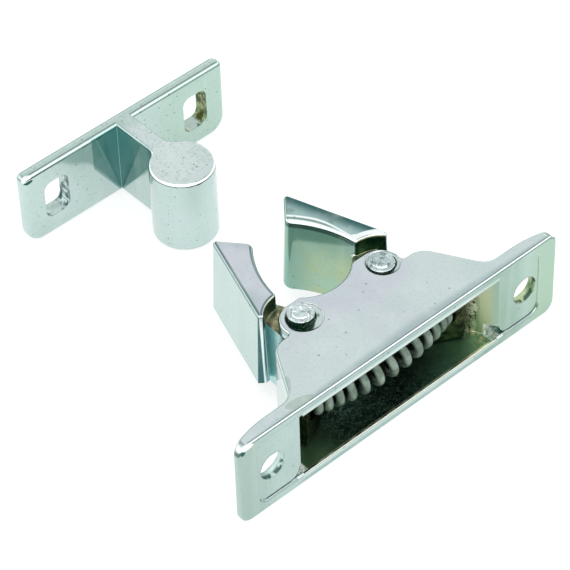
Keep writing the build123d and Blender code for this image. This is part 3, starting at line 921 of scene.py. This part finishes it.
def strike_plating():
    """Chrome on the strike, cast rough on its top, with painted dark reflections where its plate and web
    mirror each other.
    """
    material, kit, shader = new_material("strike_plating")
    position, (x, y, z) = kit.place()
    facing = kit.facing()
    top = upward(kit, facing)
    sides = kit.mix(kit.step(x, 8 * MM, 20 * MM), STRIKE_MINT, STRIKE_RIGHT)
    sides = mirrored_corner(kit, facing, x, y, kit.less(z, FLOOR_Z), sides)
    crown = kit.mix(kit.step(y, 93.5 * MM, 97.5 * MM), STRIKE_TOP, STRIKE_TOP_REAR)
    # Painted reflection: the tops take other colours than the sides
    tone = kit.mix(top, sides, crown)
    # On the boss's rim the painted edge highlight is wider, with a stronger painted dark line under it, as
    # on a rim rounder than the plate's edges
    from_boss = kit.length(kit.less(x, STRIKE_X), kit.less(y, BOSS_Y))
    rim = kit.step(from_boss, BOSS_RADIUS + 0.4 * MM, BOSS_RADIUS + 0.2 * MM)
    color, rough = plate(
        kit, shader, Position=position, Tone=tone, Cloud=kit.mix(0.35, tone, DEEP_MINT), Roughness=0.07,
        Waves=0.12, Pits=1.6, Edge=0.2 * MM, Edge_Light=kit.plus(0.6, kit.times(rim, 0.3)),
        Edge_Dark=kit.plus(0.45, kit.times(rim, 0.4)), Light_Width=kit.plus(0.04, kit.times(rim, 0.22)))
    # Painted highlight and painted dark reflection on the plate's left end
    color = kit.group(
        corner_glint, Position=position, Color=color,
        Bright_Middle=mm(-25.8, 0, 8.6), Bright_Half_Size=(1.6 * MM, THROUGH, 0.8 * MM),
        Dark_Middle=mm(-25.1, 0, 7.5), Dark_Half_Size=(1.2 * MM, THROUGH, 0.5 * MM))["Color"]
    sand = kit.mottle(position, 1300.0, 0.5, 0.7, roughness=0.7)
    color = kit.mix(kit.times(top, sand, 0.4), color, CAST_SAND)
    # Walls of the two slots, silver left and olive right
    slot = kit.times(kit.band(y, *SLOT_WALLS_Y, 0.1 * MM), kit.band(z, *SLOT_WALLS_Z, 0.2 * MM),
                     kit.band(x, *SLOT_WALLS_X, 0.2 * MM))
    on_right = kit.step(x, 0.0, 1 * MM)
    blotch = kit.mottle(position, 420.0, 0.44, 0.56, detail=4.0, roughness=0.7)
    dark_wall = kit.mix(on_right, SLOT_TEAL, SLOT_OLIVE)
    light_wall = kit.mix(on_right, SLOT_SILVER, SLOT_SAGE)
    wall = kit.mix(blotch, dark_wall, light_wall)
    finish_shader(kit, shader, kit.mix(slot, color, wall), kit.plus(rough, kit.times(slot, 0.1)))
    return material


# Pins and spring wire
def pin_steel():
    """Peened pin heads: beaten bright on top, with painted shade on their sides."""
    material, kit, shader = new_material("pin_steel")
    position, _ = kit.place()
    color, rough = plate(
        kit, shader, Position=position, Tone=PIN_BRIGHT, Cloud=PIN_CLOUD, Roughness=0.10, Waves=1.0,
        Pits=0.3, Edge=0.3 * MM, Edge_Light=0.7, Edge_Dark=0.6, Light_Width=0.17)
    streak = kit.mottle(position, 480.0, 0.56, 0.64, distortion=1.2)
    color = kit.mix(kit.times(streak, 0.6), color, PIN_STREAK)
    dent = kit.noise(position, 620.0, detail=1.0, distortion=0.6)
    kit.link(kit.bump(1.0, 0.7 * MM, dent), shader.inputs["Normal"])
    # Painted shade on the heads' sides
    side = kit.step(kit.facing()[2], 0.45, 0.2)
    finish_shader(kit, shader, kit.mix(side, color, PIN_SIDE), rough)
    return material


def spring_wire():
    """Grey-green drawn wire, dull, with painted shade on the coil's far side."""
    material, kit, shader = new_material("spring_wire")
    position, (x, y, _) = kit.place()
    cloud = kit.noise(position, 260.0, detail=4.0, roughness=0.6)
    tone = kit.mix(kit.step(cloud, 0.38, 0.66), WIRE_DARK, WIRE_LIGHT)
    scratch = kit.noise(position, 1500.0, detail=2.0)
    tone = kit.mix(kit.times(kit.step(scratch, 0.55, 0.75), 0.35), tone, WIRE_SCRATCH)
    # The bowed axis, taken as a parabola
    along = kit.less(x, PAIR_X)
    axis_y = kit.plus(COIL_BOW_Y, kit.times(along, along, (SEAT_Y - COIL_BOW_Y) / SEAT_X**2))
    # Painted shade on the coil's far side, behind its axis
    far = kit.step(kit.less(y, axis_y), -3.2 * MM, -0.4 * MM)
    tone = kit.mix(kit.times(far, 0.93), tone, WIRE_FAR)
    finish_shader(kit, shader, tone, kit.plus(0.32, kit.times(cloud, 0.2)))
    shader.inputs["Metallic"].default_value = 0.5
    kit.link(kit.bump(0.25, 0.1 * MM, scratch), shader.inputs["Normal"])
    return material


# Floor, room and light
def make_floor():
    mesh = bpy.data.meshes.new("floor")
    half = FLOOR_HALF
    corners = [(-half, -half, 0), (half, -half, 0), (half, half, 0), (-half, half, 0)]
    mesh.from_pydata(corners, [], [(0, 1, 2, 3)])
    floor = bpy.data.objects.new("floor", mesh)
    scene.collection.objects.link(floor)
    floor.location.z = FLOOR_Z - FLOOR_GAP
    material, _, shader = new_material("floor_paper")
    shader.inputs["Base Color"].default_value = FLOOR_PAPER
    shader.inputs["Emission Color"].default_value = WHITE
    shader.inputs["Emission Strength"].default_value = 0.70
    shader.inputs["Roughness"].default_value = 0.9
    shader.inputs["Specular IOR Level"].default_value = 0.1
    mesh.materials.append(material)


def make_world():
    """A pale room: a soft white light ahead and above, a grey ceiling, a dark band low on the horizon."""
    world = bpy.data.worlds.new("studio")
    world.use_nodes = True
    scene.world = world
    kit = Nodes(world.node_tree)
    background = world.node_tree.nodes["Background"]
    _, y, z = kit.split(kit.add("ShaderNodeTexCoord").outputs["Generated"])
    sky = kit.mix(kit.step(z, 0.40, 0.66), LOW_SKY, HIGH_SKY)
    # Darker ceiling between the back of the room and the white light in front
    ceiling = kit.times(kit.band(y, -0.16, 0.32, 0.10), kit.step(z, 0.70, 0.85))
    sky = kit.mix(kit.times(ceiling, 0.5), sky, CEILING)
    # White light in front of the flange, high
    front = kit.times(kit.band(y, -0.72, -0.36, 0.06), kit.step(z, 0.30, 0.42))
    sky = kit.mix(front, sky, FRONT_LIGHT)
    # Dark band on the horizon in front, grey behind
    horizon = kit.step(z, 0.24, 0.12)
    far_wall = kit.mix(kit.step(y, 0.1, -0.2), BACK_WALL, FRONT_WALL)
    sky = kit.mix(kit.times(horizon, 0.9), sky, far_wall)
    kit.link(sky, background.inputs[0])
    background.inputs[1].default_value = 1.0


def make_overhead_light():
    data = bpy.data.lights.new("overhead", "AREA")
    data.shape = "RECTANGLE"
    data.size = data.size_y = LIGHT_SIZE
    data.energy = LIGHT_POWER
    light = bpy.data.objects.new("overhead", data)
    scene.collection.objects.link(light)
    light.location = LIGHT_PLACE
    light.rotation_euler = (LIGHT_TARGET - LIGHT_PLACE).to_track_quat("-Z", "Y").to_euler()


dress(housing_plating(), "housing")
dress(jaw_plating("left_jaw_plating", LEFT_PIVOT, is_right=False, edge=0.3 * MM, cloudiness=0.3,
                  edge_light=0.0, edge_dark=0.8), "left_jaw")
dress(jaw_plating("right_jaw_plating", RIGHT_PIVOT, is_right=True, edge=0.6 * MM, cloudiness=0.08,
                  edge_light=0.9, edge_dark=0.5), "right_jaw")
dress(strike_plating(), "strike")
dress(pin_steel(), "left_pin", "right_pin")
make_spring()
place_camera()
make_floor()
make_world()
make_overhead_light()
scene.view_settings.view_transform = "Standard"
